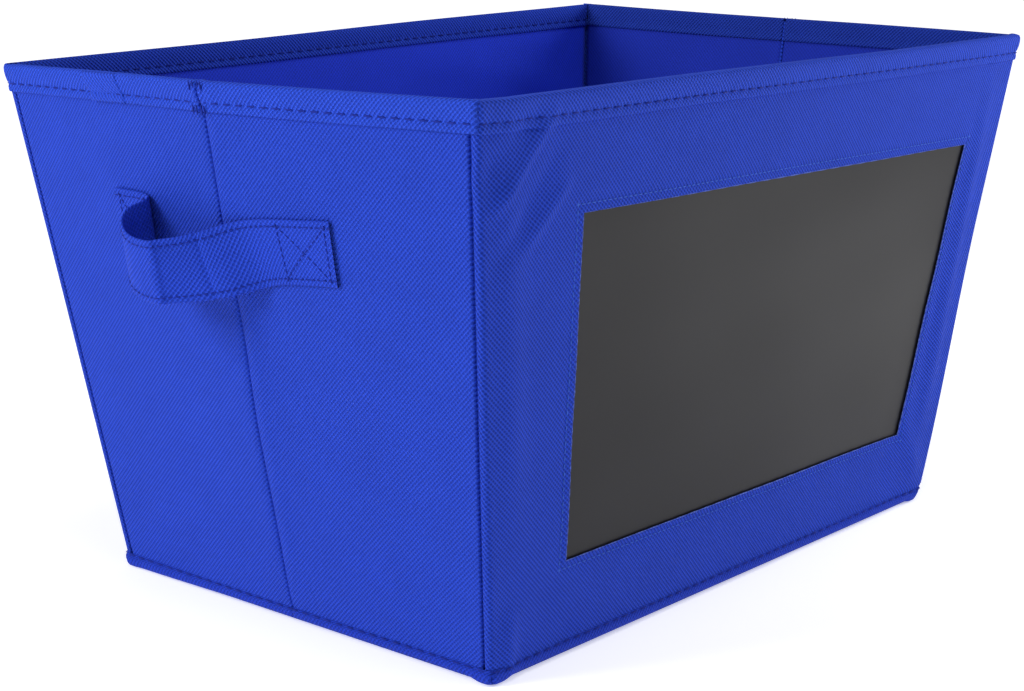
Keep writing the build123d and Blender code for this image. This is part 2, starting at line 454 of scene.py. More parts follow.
def cloth_grid(name, points, material, flat_uv, keep_face=None, flip=False, closed=False):
    """A smooth mesh from rows of points; flat_uv gives each point's place in the flat cloth."""
    rows, columns = points.shape[:2]
    number = np.arange(rows * columns).reshape(rows, columns)
    if closed:
        number = np.concatenate([number, number[:, :1]], axis=1)
    quads = np.stack(
        [number[:-1, :-1], number[:-1, 1:], number[1:, 1:], number[1:, :-1]], axis=-1
    )
    if keep_face is not None:
        quads = quads[keep_face]
    quads = quads.reshape(-1, 4)
    if flip:
        quads = quads[:, ::-1]
    mesh = bpy.data.meshes.new(name)
    mesh.from_pydata(points.reshape(-1, 3).tolist(), [], quads.tolist())
    used = np.zeros(rows * columns, bool)
    used[quads.ravel()] = True
    uv_layer = mesh.uv_layers.new(name="flat_cloth")
    loops = np.zeros(len(mesh.loops), np.int64)
    mesh.loops.foreach_get("vertex_index", loops)
    uv_layer.data.foreach_set("uv", flat_uv.reshape(-1, 2)[loops].astype(np.float32).ravel())
    mesh.polygons.foreach_set("use_smooth", [True] * len(mesh.polygons))
    mesh.materials.append(material)
    mesh.update()
    piece = bpy.data.objects.new(name, mesh)
    scene.collection.objects.link(piece)
    if not used.all():
        loose = bmesh.new()
        loose.from_mesh(mesh)
        bmesh.ops.delete(loose, geom=[v for v in loose.verts if not v.link_faces], context="VERTS")
        loose.to_mesh(mesh)
        loose.free()
    return piece


def thicken(piece, thickness):
    """Gives a cloth surface its thickness, inward from the side that shows."""
    wall = piece.modifiers.new("thickness", "SOLIDIFY")
    wall.thickness = thickness
    wall.offset = -1
    wall.use_even_offset = False


corner_round = 2.2 * MM
wrap_depth = 3.2 * MM
seam_roll = 0.7 * MM


def wrap_columns(steps, wall, v):
    """u and out for a panel that turns round both corners; steps holds the middle columns, -1 to 1."""
    span = half_span(wall, v)
    turn_angles = np.linspace(0, pi / 2, 5)
    straight = np.linspace(corner_round, wrap_depth, 3)[1:]
    roll_angles = np.linspace(0, pi / 2, 3)[1:]
    u_side = [span - corner_round + corner_round * sin(a) for a in turn_angles]
    out_side = [-corner_round + corner_round * cos(a) + 0 * span for a in turn_angles]
    u_side += [span + 0 * d for d in straight]
    out_side += [-d + 0 * span for d in straight]
    u_side += [span - seam_roll + seam_roll * cos(a) for a in roll_angles]
    out_side += [-wrap_depth - seam_roll * sin(a) + 0 * span for a in roll_angles]
    u_side.append(span - 2.5 * seam_roll)
    out_side.append(-wrap_depth - seam_roll + 0 * span)
    middle_u = [step * (span - corner_round) for step in steps[1:-1]]
    u = [-x for x in reversed(u_side)] + middle_u + u_side
    out = list(reversed(out_side)) + [0 * span] * len(middle_u) + out_side
    return np.stack(u, axis=-1), np.stack(out, axis=-1)


def cloth_path(u, out):
    """How far each column lies along the flat cloth, so that the pattern follows it round corners."""
    step = np.hypot(np.diff(u, axis=1), np.diff(out, axis=1))
    path = np.concatenate([np.zeros((len(u), 1)), np.cumsum(step, axis=1)], axis=1)
    return path - path[:, -1:] / 2


panel_bottom = 3.0 * MM


def panel_rows(wall, spacing):
    """Heights up the slope from under the base seam to under the rim tape."""
    top = slope_top(wall) - 2 * MM
    return np.linspace(panel_bottom, top, int((top - panel_bottom) / spacing))


# the window's corners on the front panel, along and up in metres; it is a little out of square
window_low_left = np.array((-133.9, 46.4)) * MM
window_low_right = np.array((142.8, 44.3)) * MM
window_high_left = np.array((-145.0, 200.7)) * MM
window_high_right = np.array((170.0, 197.8)) * MM
window_seam = 3.6 * MM


def window_edges(share):
    """The window's left and right edge points at a share of its height."""
    left = window_low_left + share * (window_high_left - window_low_left)
    right = window_low_right + share * (window_high_right - window_low_right)
    return left, right


window_columns = 150
side_columns = 26
low_rows = np.linspace(0, 1, 26)
window_rows = np.linspace(0, 1, 86)
high_rows = np.linspace(0, 1, 28)

front_top = slope_top("front") - 2 * MM


def front_grid_points():
    """u, v and out of the front panel's cloth, with rows and columns that meet the window's edges."""
    us, vs, outs = [], [], []
    shares = np.concatenate([-(1 - low_rows[:-1]), window_rows, 1 + high_rows[1:]])
    for share in shares:
        inside_share = np.clip(share, 0, 1)
        left, right = window_edges(inside_share)
        columns = np.linspace(0, 1, window_columns)
        u_mid = left[0] + columns * (right[0] - left[0])
        v_mid = left[1] + columns * (right[1] - left[1])
        if share < 0:
            v_mid = panel_bottom + (1 + share) * (v_mid - panel_bottom)
        if share > 1:
            v_mid = v_mid + (share - 1) * (front_top - v_mid)
        edge_left = -(half_span("front", v_mid[0]) - corner_round)
        edge_right = half_span("front", v_mid[-1]) - corner_round
        ease = np.linspace(0, 1, side_columns)[1:-1]
        u_left = edge_left + ease * (u_mid[0] - edge_left)
        u_right = u_mid[-1] + ease * (edge_right - u_mid[-1])
        v_left = np.full(len(u_left), v_mid[0])
        v_right = np.full(len(u_right), v_mid[-1])
        v_row = np.concatenate([v_left, v_mid, v_right])
        u_row = np.concatenate([u_left, u_mid, u_right])
        steps = np.array([-1, 1])
        wrap_u_left, wrap_out_left = wrap_columns(steps, "front", np.array([v_mid[0]]))
        wrap_u_right, wrap_out_right = wrap_columns(steps, "front", np.array([v_mid[-1]]))
        side = wrap_u_left.shape[1] // 2
        u_row = np.concatenate([wrap_u_left[0, :side], u_row, wrap_u_right[0, side:]])
        v_row = np.concatenate([np.full(side, v_mid[0]), v_row, np.full(side, v_mid[-1])])
        out_row = np.concatenate(
            [wrap_out_left[0, :side], np.zeros(len(u_row) - 2 * side), wrap_out_right[0, side:]]
        )
        us.append(u_row)
        vs.append(v_row)
        outs.append(out_row)
    return np.array(us), np.array(vs), np.array(outs), side


front_u, front_v, front_out, wrap_count = front_grid_points()


def window_distance(u, v):
    """How far a point lies outside the window's edge; negative inside it."""
    share = (v - window_low_left[1]) / (window_high_left[1] - window_low_left[1])
    left_u = window_low_left[0] + share * (window_high_left[0] - window_low_left[0])
    right_u = window_low_right[0] + share * (window_high_right[0] - window_low_right[0])
    along_share = np.clip((u - left_u) / (right_u - left_u), 0, 1)
    low_v = window_low_left[1] + along_share * (window_low_right[1] - window_low_left[1])
    high_v = window_high_left[1] + along_share * (window_high_right[1] - window_high_left[1])
    beside = np.maximum(left_u - u, u - right_u)
    above = np.maximum(low_v - v, v - high_v)
    return np.where((beside > 0) & (above > 0), np.hypot(beside, above), np.maximum(beside, above))


edge_distance = window_distance(front_u, front_v)
pucker = -0.45 * MM * np.exp(-(((edge_distance - window_seam) / (1.1 * MM)) ** 2))
lip = 0.35 * MM * np.exp(-((edge_distance / (1.5 * MM)) ** 2))
front_points = at("front", front_u, front_v, front_out + pucker + lip)
rows_below = len(low_rows) - 1
first_window_column = wrap_count + side_columns - 2
keep_face = np.ones((front_points.shape[0] - 1, front_points.shape[1] - 1), bool)
keep_face[
    rows_below : rows_below + len(window_rows) - 1,
    first_window_column : first_window_column + window_columns - 1,
] = False
front_uv = np.stack([cloth_path(front_u, front_out), front_v], axis=-1)
front_panel = cloth_grid("front_outer_cloth", front_points, front_cloth, front_uv, keep_face)
thicken(front_panel, cloth_thickness)
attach(front_panel, "front_wall")
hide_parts("front_outer_panel")

back_v = panel_rows("back", 3 * MM)
back_u, back_out = wrap_columns(np.linspace(-1, 1, 140), "back", back_v)
back_rows = np.broadcast_to(back_v[:, None], back_u.shape)
back_points = at("back", back_u, back_rows, back_out)
back_uv = np.stack([cloth_path(back_u, back_out), back_rows], axis=-1)
back_panel = cloth_grid("back_outer_cloth", back_points, front_cloth, back_uv)
thicken(back_panel, cloth_thickness)
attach(back_panel, "back_wall")
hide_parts("back_outer_panel")

# ---- End panels -------------------------------------------------------------------------------------
# Each end is one sheet with a pressed crease up its middle, which lets it fold inward. Both its sides
# are turned in and sewn to the front's and back's cloth, which leaves a deep dark seam by each corner.
HALVES = {
    "left_rear": ("left", -1, "left_rear_half"),
    "left_front": ("left", 1, "left_front_half"),
    "right_rear": ("right", 1, "right_rear_half"),
    "right_front": ("right", -1, "right_front_half"),
}
PARTS = {"front": ("front", 0, "front_wall"), "back": ("back", 0, "back_wall"), **HALVES}


def sew_to_half(piece, half):
    """An end wall's half carries the piece."""
    wall, side, body = HALVES[half]
    if piece.modifiers:
        # its thickness is made part of the mesh
        graph = bpy.context.evaluated_depsgraph_get()
        made = bpy.data.meshes.new_from_object(piece.evaluated_get(graph))
        piece.modifiers.clear()
        made.name = piece.name
        piece.data = made
    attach(piece, body)
    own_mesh(piece)


def sew_on(piece, name):
    """Fixes a piece to a whole wall or to an end wall's half."""
    wall, side, body = PARTS[name]
    if side:
        sew_to_half(piece, name)
    else:
        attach(piece, body)


def crease_valley(u):
    """How deep the pressed crease down the middle of an end wall lies."""
    pressed_line = 1.1 * MM * np.exp(-np.abs(u) / (1.6 * MM))
    roll_beside = 0.35 * MM * np.exp(-(((u - 6 * MM) / (4 * MM)) ** 2))
    return pressed_line - roll_beside


def left_relief(u, v, edge, inside):
    """Bowed well out at the rim, dented under the handle and lifted beside it."""
    rise = np.clip((v - 5 * MM) / (slope_top("left") - 5 * MM), 0, 1)
    tent = np.clip(1 - np.abs(u) / half_span("left", v), 0, 1)
    bow = 10.2 * MM * rise**0.5 * tent - crease_valley(u) * inside
    waves = 0.35 * MM * slack(u, v, 1.3)
    dent = crease_ridge(u, v, (-30, 160), (45, 120), 26, -1.0)
    lift_by_handle = crease_ridge(u, v, (-75, 205), (-20, 150), 15, 0.8)
    return bow + (waves + dent + lift_by_handle) * inside


def right_relief(u, v, edge, inside):
    """Bowed out a little at the rim."""
    share_up = np.clip(v / slope_top("right"), 0, 1)
    tent = np.clip(1 - np.abs(u) / half_span("right", v), 0, 1)
    bow = 2.5 * MM * share_up**1.6 * tent - crease_valley(u) * inside
    return bow + 0.45 * MM * slack(u, v, 4.1) * inside


WALL_RELIEF["left"] = left_relief
WALL_RELIEF["right"] = right_relief

end_cloth = cloth_material("end_panel_cloth", (0.0172, 0.0630, 0.580), royal_dimple, rising_rows)
turn_in = 0.9 * MM
crease_turn = 1.1 * MM
seam_gap = 1.8 * MM


def end_columns(wall, v, count):
    """Distance from the crease and out for half an end panel, turned in at the crease and the seam."""
    far = half_span(wall, v) - (wrap_depth + seam_gap) / cos(side_tilt)
    angles = np.linspace(0, pi / 2, 4)
    near_edge = [(crease_turn * (1 - cos(a)), crease_turn * (sin(a) - 1)) for a in angles]
    us = [0 * far + 0.05 * MM, *(0 * far + 0.05 * MM + x for x, _ in near_edge)]
    outs = [0 * far - 2 * crease_turn, *(0 * far + y for _, y in near_edge)]
    shares = np.linspace(0, 1, count)[1:-1]
    us += [crease_turn + s * (far - turn_in - crease_turn) for s in shares]
    outs += [0 * far] * len(shares)
    us += [far - turn_in + turn_in * sin(a) for a in angles]
    outs += [0 * far - turn_in + turn_in * cos(a) for a in angles]
    us.append(far)
    outs.append(0 * far - 3 * turn_in)
    return np.stack(us, axis=-1), np.stack(outs, axis=-1)


for half, (wall, side, body) in HALVES.items():
    heights = panel_rows(wall, 2 * MM)
    u, out = end_columns(wall, heights, 74)
    v = np.broadcast_to(heights[:, None], u.shape)
    flat_uv = np.stack([u * side, v], axis=-1)
    end_panel = cloth_grid(
        f"{half}_outer_cloth", at(wall, u * side, v, out), end_cloth, flat_uv, flip=side < 0
    )
    thicken(end_panel, cloth_thickness)
    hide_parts(f"{half}_outer_panel")
    sew_to_half(end_panel, half)

# ---- Boards -----------------------------------------------------------------------------------------
# Pressed grey card, about 2 mm thick, slipped between cloth and lining. It follows the wall's own bow. The
# front's is thinner here and lies flat, because the front's cloth puffs up by itself.


def speckled_material(name, colour, fleck, scale, roughness):
    """A plain solid colour broken up by flecks, for card."""
    material = bpy.data.materials.new(name)
    material.use_nodes = True
    tree = material.node_tree
    shader = tree.nodes["Principled BSDF"]
    place = tree.nodes.new("ShaderNodeTexCoord")
    noise = tree.nodes.new("ShaderNodeTexNoise")
    noise.inputs["Scale"].default_value = scale
    noise.inputs["Detail"].default_value = 6
    mix = tree.nodes.new("ShaderNodeMix")
    mix.data_type = "RGBA"
    mix.inputs["A"].default_value = (*colour, 1)
    mix.inputs["B"].default_value = (*fleck, 1)
    ramp = tree.nodes.new("ShaderNodeMapRange")
    ramp.inputs["From Min"].default_value = 0.35
    ramp.inputs["From Max"].default_value = 0.75
    bump = tree.nodes.new("ShaderNodeBump")
    bump.inputs["Strength"].default_value = 0.2
    bump.inputs["Distance"].default_value = 0.1 * MM
    tree.links.new(place.outputs["Object"], noise.inputs["Vector"])
    tree.links.new(noise.outputs["Fac"], ramp.inputs["Value"])
    tree.links.new(ramp.outputs[0], mix.inputs["Factor"])
    tree.links.new(mix.outputs["Result"], shader.inputs["Base Color"])
    tree.links.new(noise.outputs["Fac"], bump.inputs["Height"])
    tree.links.new(bump.outputs["Normal"], shader.inputs["Normal"])
    shader.inputs["Roughness"].default_value = roughness
    return material


card = speckled_material("grey_card", (0.36, 0.34, 0.30), (0.22, 0.21, 0.19), 900, 0.9)
board_skin = 0.7 * MM
board_thickness = 1.9 * MM
front_board_thickness = 0.7 * MM
board_crease_gap = 2.4 * MM

for name, (wall, side, body) in PARTS.items():
    depth = board_skin
    heights = np.linspace(7 * MM, slope_top(wall) - 3 * MM, 30)
    reach = half_span(wall, heights) - (3.5 * MM if side == 0 else 7.0 * MM)
    shares = np.linspace(-1, 1, 60) if side == 0 else np.linspace(0, 1, 30)
    u = (reach[:, None] - abs(side) * board_crease_gap) * shares * (side or 1) + side * board_crease_gap
    v = np.broadcast_to(heights[:, None], u.shape)
    if name == "front":
        depth = 2.1 * MM + relief(wall, u, v)
    board = cloth_grid(
        f"{name}_card", at(wall, u, v, -depth), card, np.stack([u, v], axis=-1), flip=side < 0
    )
    thicken(board, front_board_thickness if name == "front" else board_thickness)
    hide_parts(f"{name}_board")
    sew_on(board, name)

# ---- Linings ----------------------------------------------------------------------------------------
# The same cloth sewn in as the bin's inner face. Its copy on the long walls is coloured paler as painted
# light and its copy on the ends darker as painted shade, for how the light falls inside the bin. An end's
# lining is one sheet too, with a narrow groove where it is pressed into the crease.
lining_depth = 3.0 * MM
lining_crease_gap = 0.7 * MM
# the lining's lit copy, on the long walls and the insert cover: coloured paler as painted light
lining_cloth = cloth_material(
    "lining_cloth", (0.0200, 0.0580, 0.740), (0.0110, 0.0310, 0.480), falling_rows, bump=0.3
)
# the ends' copy of the same cloth, coloured darker as painted shade
end_lining_painted_shade = cloth_material(
    "end_lining_painted_shade", (0.0105, 0.0315, 0.410), (0.0060, 0.0175, 0.270), rising_rows, bump=0.3
)

for name, (wall, side, body) in PARTS.items():
    heights = np.linspace(2 * MM, slope_top(wall) - 2 * MM, 90)
    gap = 3.4 * MM if side == 0 else 4.2 * MM
    reach = half_span(wall, heights) - gap
    shares = np.linspace(-1, 1, 150)
    if side:
        shares = np.append([0, 0.005, 0.01], np.linspace(0.015, 1, 70))
    u = (reach[:, None] - abs(side) * lining_crease_gap) * shares * (side or 1) + side * lining_crease_gap
    v = np.broadcast_to(heights[:, None], u.shape)
    ripple = 0.15 * MM * slack(u, v, 5.5 + len(name)) * soft_step(0, 0.03, reach[:, None] - np.abs(u))
    if name == "front":
        # the front's outer cloth puffs up by itself, and its lining stays flat on the card
        ripple = ripple - relief(wall, u, v)
    if side:
        # a groove runs down the crease
        ripple = ripple + 1.1 * MM * (1 - soft_step(lining_crease_gap, 2.3 * MM, np.abs(u)))
    lining = cloth_grid(
        f"{name}_lining_cloth",
        at(wall, u, v, -lining_depth + ripple),
        end_lining_painted_shade if side else lining_cloth,
        np.stack([u, v], axis=-1),
        flip=side >= 0,
    )
    thicken(lining, 0.35 * MM)
    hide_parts(f"{name}_lining")
    sew_on(lining, name)

# ---- Rim binding ------------------------------------------------------------------------------------
# A strip of the cloth folded over the top edge and stitched through, slightly plump between the fold
# and the stitches. On the left end its two ends meet in a slanting overlap.
# its inner leg is darkened to 0.62 of its colour, painted shade for the inside of the bin
tape_cloth = cloth_material(
    "tape_cloth", (0.0205, 0.0740, 0.640), royal_dimple, rising_rows, inner_painted_shade=0.62
)
front_tape_cloth = cloth_material(
    "front_tape_cloth", (0.0210, 0.0720, 0.640), front_dimple, falling_rows
)

# each point of the cross-section is (out from the wall's face, distance below the rim), in mm
TAPE_SECTION = [
    (0.25, 12.9), (0.95, 12.7), (1.15, 11.8), (0.95, 10.4), (0.2, 9.0), (0.95, 7.6), (1.35, 5.5),
    (1.4, 3.2), (1.15, 1.5), (0.5, 0.4), (-0.7, 0.0), (-2.2, 0.0), (-3.4, 0.4), (-4.0, 1.5),
    (-4.15, 3.4), (-4.1, 5.5), (-3.9, 7.6), (-3.45, 9.0), (-3.85, 10.4), (-3.9, 11.8), (-3.6, 12.9),
]
stitch_drop = 9.0 * MM
rim_stitch_pitch = 6.8 * MM


def tape_rows(wall, u_of_v, out_extra):
    """Points of the folded tape: one row per section point, one column per place along the wall."""
    rows_u, rows_v, rows_out = [], [], []
    top = slope_top(wall)
    for out, drop in TAPE_SECTION:
        v = top - drop * MM
        u = u_of_v(v)
        near_stitch = np.exp(-(((drop * MM - stitch_drop) / (1.6 * MM)) ** 2))
        quilt = 0.22 * MM * near_stitch * np.cos(2 * pi * u / rim_stitch_pitch)
        sag = 0.25 * MM * np.sin(u / 0.031 + 1.7) * min(1, (13 - drop) / 9)
        rows_u.append(u)
        rows_v.append(v - 0.2 * MM * np.sin(u / 0.043))
        rows_out.append(out * MM + out_extra + (quilt + sag * 0.5) * (1 if out > -1 else -1))
    return np.array(rows_u), np.array(rows_v), np.array(rows_out)


def corner_curl(distance):
    """How far the end wall's tape turns in at the corner, so that it runs on into the front's."""
    share = np.clip(1 - distance / (3.0 * MM), 0, 1)
    return -1.5 * MM * (1 - np.sqrt(1 - 0.96 * share**2))


def bind_rim(name):
    """The tape over one wall or half wall."""
    wall, side, body = PARTS[name]
    if side == 0:
        steps = np.linspace(-1, 1, 330)
        path_u, path_out = wrap_columns(steps, wall, np.array([slope_top(wall)]))
        reach_top = half_span(wall, slope_top(wall))

        def u_of_v(v):
            return path_u[0] * half_span(wall, v) / reach_top

        u, v, out = tape_rows(wall, u_of_v, path_out[0])
        # the inner leg runs straight on past the corner instead of round it
        inner = np.array([section[0] < -1.5 for section in TAPE_SECTION])
        out[inner] = np.minimum(out[inner], -3.3 * MM)
        limit = half_span(wall, v[inner]) - 4.4 * MM
        u[inner] = np.clip(u[inner], -limit, limit)
        out[inner] = np.clip(out[inner], -4.3 * MM, None)
        u_flat = cloth_path(path_u, path_out)[0]
    else:
        columns = np.linspace(0, 1, 120)

        def u_of_v(v):
            far = half_span(wall, v) + 0.2 * MM
            start = 0.6 * MM if wall == "right" else 0.05 * MM
            return side * (start + columns * (far - start))

        u, v, out = tape_rows(wall, u_of_v, 0.0)
        outer = np.array([section[0] > -1.5 for section in TAPE_SECTION])
        out[outer] += corner_curl(half_span(wall, v[outer]) - np.abs(u[outer]))
        inner_limit = half_span(wall, v[~outer]) - 4.2 * MM
        u[~outer] = np.clip(u[~outer], -inner_limit, inner_limit)
        if wall == "right":
            groove = 1 - soft_step(0.6 * MM, 2.6 * MM, np.abs(u[~outer]))
            out[~outer] = np.clip(out[~outer], -3.6 * MM, None) + 0.9 * MM * groove
        pinch = np.exp(-((np.abs(u) / (3.2 * MM)) ** 2))
        out[outer] += 0.9 * MM * pinch[outer] * np.sin(np.abs(u[outer]) / (1.1 * MM))
        u_flat = side * columns * half_span(wall, slope_top(wall))
    drops = np.array([section[1] for section in TAPE_SECTION]) * MM
    legs = np.where(np.arange(len(drops)) < 10, drops, -drops)
    flat_uv = np.stack(np.broadcast_arrays(u_flat[None, :], -legs[:, None]), axis=-1)
    weave = tape_cloth if side else front_tape_cloth
    tape = cloth_grid(f"{name}_rim_tape", at(wall, u, v, out), weave, flat_uv, flip=side < 0)
    thicken(tape, 0.4 * MM)
    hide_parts(f"{name}_rim_binding")
    sew_on(tape, name)


for name in PARTS:
    bind_rim(name)

# The tape starts and ends on the left end wall, where its last inch lies over its first.
overlap_start = -81 * MM
overlap_columns = np.linspace(0, 1, 16)
lap_u, lap_v, lap_out = tape_rows(
    "left", lambda v: overlap_start + (slope_top("left") - v) * 0.42 + overlap_columns * 24 * MM, 0.0
)
lap_rows = np.array([section[0] > -1.5 for section in TAPE_SECTION])
lap_u, lap_v, lap_out = lap_u[lap_rows], lap_v[lap_rows], lap_out[lap_rows]
lap_out = lap_out + 0.95 * MM * (1 - 0.8 * overlap_columns)
tape_lap = cloth_grid(
    "rim_tape_lap", at("left", lap_u, lap_v, lap_out), tape_cloth, np.stack([lap_u, -lap_v], axis=-1)
)
thicken(tape_lap, 0.45 * MM)
sew_to_half(tape_lap, "left_rear")

# ---- Base seam --------------------------------------------------------------------------------------
# The wall's and the base's raw edges are rolled together in a strip of cloth and stitched, which makes
# a firm band about 6 mm tall round the foot. It thickens into a small knob at each corner.
seam_cloth = cloth_material("seam_cloth", (0.013, 0.048, 0.54), royal_dimple, rising_rows)

# each point of the cross-section is (out from the wall's face, height above the floor), in mm
BAND_SECTION = [
    (-4.4, 5.6), (-4.7, 4.0), (-4.6, 1.6), (-3.9, 0.35), (-2.0, 0.1), (-0.4, 0.15), (0.7, 0.6),
    (1.25, 1.8), (1.4, 3.2), (1.25, 4.6), (0.9, 5.4), (0.35, 5.8), (0.2, 6.4), (0.05, 7.0),
]


def band_rise(distance):
    """The band's underside clears the floor by a millimetre or so except at the corner knobs."""
    return 1.3 * MM * soft_step(0.006, 0.013, distance)


for name, (wall, side, body) in PARTS.items():
    rows_u, rows_v, rows_out = [], [], []
    for out, rise in BAND_SECTION:
        v = rise * MM
        if side == 0:
            path_u, path_out = wrap_columns(np.linspace(-1, 1, 220), wall, np.array([v]))
            u, extra = path_u[0], path_out[0]
            if out < -1:
                limit = half_span(wall, v) - 4.6 * MM
                u = np.clip(u, -limit, limit)
                extra = 0 * u
        else:
            far = half_span(wall, v) - (-0.3 * MM if out > -1 else 4.4 * MM)
            u = side * (0.05 * MM + np.linspace(0, 1, 80) * (far - 0.05 * MM))
            extra = corner_curl(half_span(wall, v) - np.abs(u)) if out > -1 else 0
        corner_distance = half_span(wall, v) - np.abs(u)
        knob = 0.35 * MM * (1 - soft_step(0.004, 0.012, corner_distance)) * (out > 0)
        frontness = 1.0 if name == "front" else 0.0
        if wall in ("left", "right"):
            frontness = np.clip(1 + u * (1 if wall == "left" else -1) / half_span(wall, v), 0, 1)
        lifted_v = v + band_rise(corner_distance) * frontness * (1 - rise / 7.0)
        wobble = 0.15 * MM * np.sin(u / 0.017 + 0.8)
        rows_u.append(u)
        rows_v.append(lifted_v)
        rows_out.append(out * MM + extra + knob + wobble * (0 < out))
    u, v, out = np.array(rows_u), np.array(rows_v), np.array(rows_out)
    strip_across = np.broadcast_to(np.arange(len(BAND_SECTION))[:, None] * MM, u.shape)
    flat_uv = np.stack([u, strip_across], axis=-1)
    band = cloth_grid(f"{name}_base_band", at(wall, u, v, out), seam_cloth, flat_uv, flip=side < 0)
    thicken(band, 0.4 * MM)
    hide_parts(f"{name}_base_binding")
    sew_on(band, name)

# ---- Base panel and loose insert --------------------------------------------------------------------
# The base is a single soft sheet; on the real bin it gathers up against the back wall as it folds, and
# here it is carried by the back wall. On it lies a stiff card in a sewn cover, which keeps the bin square
# and lifts out.
base_x, base_y = np.meshgrid(
    np.linspace(-1, 1, 90) * (base_half_length - 1 * MM), np.linspace(-1, 1, 62) * (base_half_width - 1 * MM)
)
base_sag = 0.06 * MM * np.sin(base_x / 0.05) * np.sin(base_y / 0.04)
base_points = np.stack([base_x, base_y, 0.75 * MM + base_sag], axis=-1)
base_cloth = cloth_grid("base_cloth", base_points, front_cloth, np.stack([base_x, base_y], axis=-1))
thicken(base_cloth, cloth_thickness)
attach(base_cloth, "back_wall")
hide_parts("base_panel")
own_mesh(base_cloth)

insert_low, insert_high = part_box("insert_cover")
insert_thick = insert_high.z - insert_low.z


def rounded_loop(inset, z, count=24, corner=3.0 * MM):
    """A loop of points round the insert, inset from its edge, at height z."""
    half_x, half_y = insert_high.x - inset, insert_high.y - inset
    loop = []
    corners = ((1, 1, 0), (-1, 1, 90), (-1, -1, 180), (1, -1, 270))
    for (centre_x, centre_y, start), (next_x, next_y, _) in zip(corners, corners[1:] + corners[:1]):
        for step in range(5):
            angle = radians(start + step * 22.5)
            x = centre_x * (half_x - corner) + corner * cos(angle)
            y = centre_y * (half_y - corner) + corner * sin(angle)
            loop.append((x, y, z))
        end_angle = radians(start + 90)
        ahead = (
            next_x * (half_x - corner) + corner * cos(end_angle),
            next_y * (half_y - corner) + corner * sin(end_angle),
        )
        x, y = loop[-1][:2]
        for step in range(1, count):
            loop.append((x + (ahead[0] - x) * step / count, y + (ahead[1] - y) * step / count, z))
    return loop


# each ring of the cover by how far it lies in from the edge, in mm, and its share of the thickness
inset_levels = [60, 40, 20, 10, 6, 4.2, 3.2, 1.6, 0.5, 0.0, 0.5, 1.6, 3.2, 20, 60, 100]
height_shares = [1, 1, 1, 1, 0.97, 0.86, 0.97, 0.98, 0.82, 0.5, 0.18, 0.03, 0, 0, 0, 0]
cover_loops = [[(0.0, 0.0, insert_high.z)] * len(rounded_loop(0, 0))]
for inset, share in zip([100, *inset_levels], [1, *height_shares]):
    cover_loops.append(rounded_loop(inset * MM, insert_low.z + share * insert_thick))
cover_loops.append([(0.0, 0.0, insert_low.z)] * len(cover_loops[0]))
cover_points = np.array(cover_loops)
insert_cloth = cloth_grid(
    "insert_cover_cloth", cover_points, lining_cloth, cover_points[..., :2], closed=True, flip=True
)
insert_weld = insert_cloth.modifiers.new("close_middle", "WELD")
insert_weld.merge_threshold = 0.01 * MM
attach(insert_cloth, "base_insert")
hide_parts("insert_cover", "insert_board")

# ---- Chalkboard -------------------------------------------------------------------------------------
# A sheet of matt black vinyl behind the window, slightly slack, with a soft sheen of its own. It is
# sewn in with the window's seam.
vinyl = bpy.data.materials.new("chalkboard_vinyl")
vinyl.use_nodes = True
vinyl_tree = vinyl.node_tree
vinyl_shader = vinyl_tree.nodes["Principled BSDF"]
vinyl_shader.inputs["Specular IOR Level"].default_value = 0.17
vinyl_place = vinyl_tree.nodes.new("ShaderNodeTexCoord")
vinyl_haze = vinyl_tree.nodes.new("ShaderNodeTexNoise")
vinyl_haze.inputs["Scale"].default_value = 9
vinyl_haze.inputs["Detail"].default_value = 5
vinyl_grain = vinyl_tree.nodes.new("ShaderNodeTexNoise")
vinyl_grain.inputs["Scale"].default_value = 3500
vinyl_mix = vinyl_tree.nodes.new("ShaderNodeMix")
vinyl_mix.data_type = "RGBA"
vinyl_mix.inputs["A"].default_value = (0.0085, 0.008, 0.010, 1)
vinyl_mix.inputs["B"].default_value = (0.013, 0.0125, 0.015, 1)
vinyl_bump = vinyl_tree.nodes.new("ShaderNodeBump")
vinyl_bump.inputs["Strength"].default_value = 0.25
vinyl_bump.inputs["Distance"].default_value = 0.05 * MM
vinyl_rough = math_node(vinyl_tree, "MULTIPLY_ADD", vinyl_haze.outputs["Fac"], 0.10, 0.30)
vinyl_tree.links.new(vinyl_place.outputs["Object"], vinyl_haze.inputs["Vector"])
vinyl_tree.links.new(vinyl_place.outputs["Object"], vinyl_grain.inputs["Vector"])
vinyl_tree.links.new(vinyl_haze.outputs["Fac"], vinyl_mix.inputs["Factor"])
vinyl_tree.links.new(vinyl_mix.outputs["Result"], vinyl_shader.inputs["Base Color"])
vinyl_tree.links.new(vinyl_rough, vinyl_shader.inputs["Roughness"])
vinyl_tree.links.new(vinyl_grain.outputs["Fac"], vinyl_bump.inputs["Height"])
vinyl_tree.links.new(vinyl_bump.outputs["Normal"], vinyl_shader.inputs["Normal"])

# the sheet reaches a little past the window on every side, as shares of the window's size
board_shares = np.linspace(-0.05, 1.05, 70)
board_columns = np.linspace(-0.025, 1.025, 130)
board_u, board_v = [], []
for share in board_shares:
    left, right = window_edges(share)
    board_u.append(left[0] + board_columns * (right[0] - left[0]))
    board_v.append(left[1] + board_columns * (right[1] - left[1]))
board_u, board_v = np.array(board_u), np.array(board_v)
board_points = at("front", board_u, board_v, -0.85 * MM)
board_uv = np.stack([board_u, board_v], axis=-1)
chalkboard = cloth_grid("chalkboard_vinyl_sheet", board_points, vinyl, board_uv)
thicken(chalkboard, 0.3 * MM)
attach(chalkboard, "front_wall")
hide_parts("chalkboard_sheet")

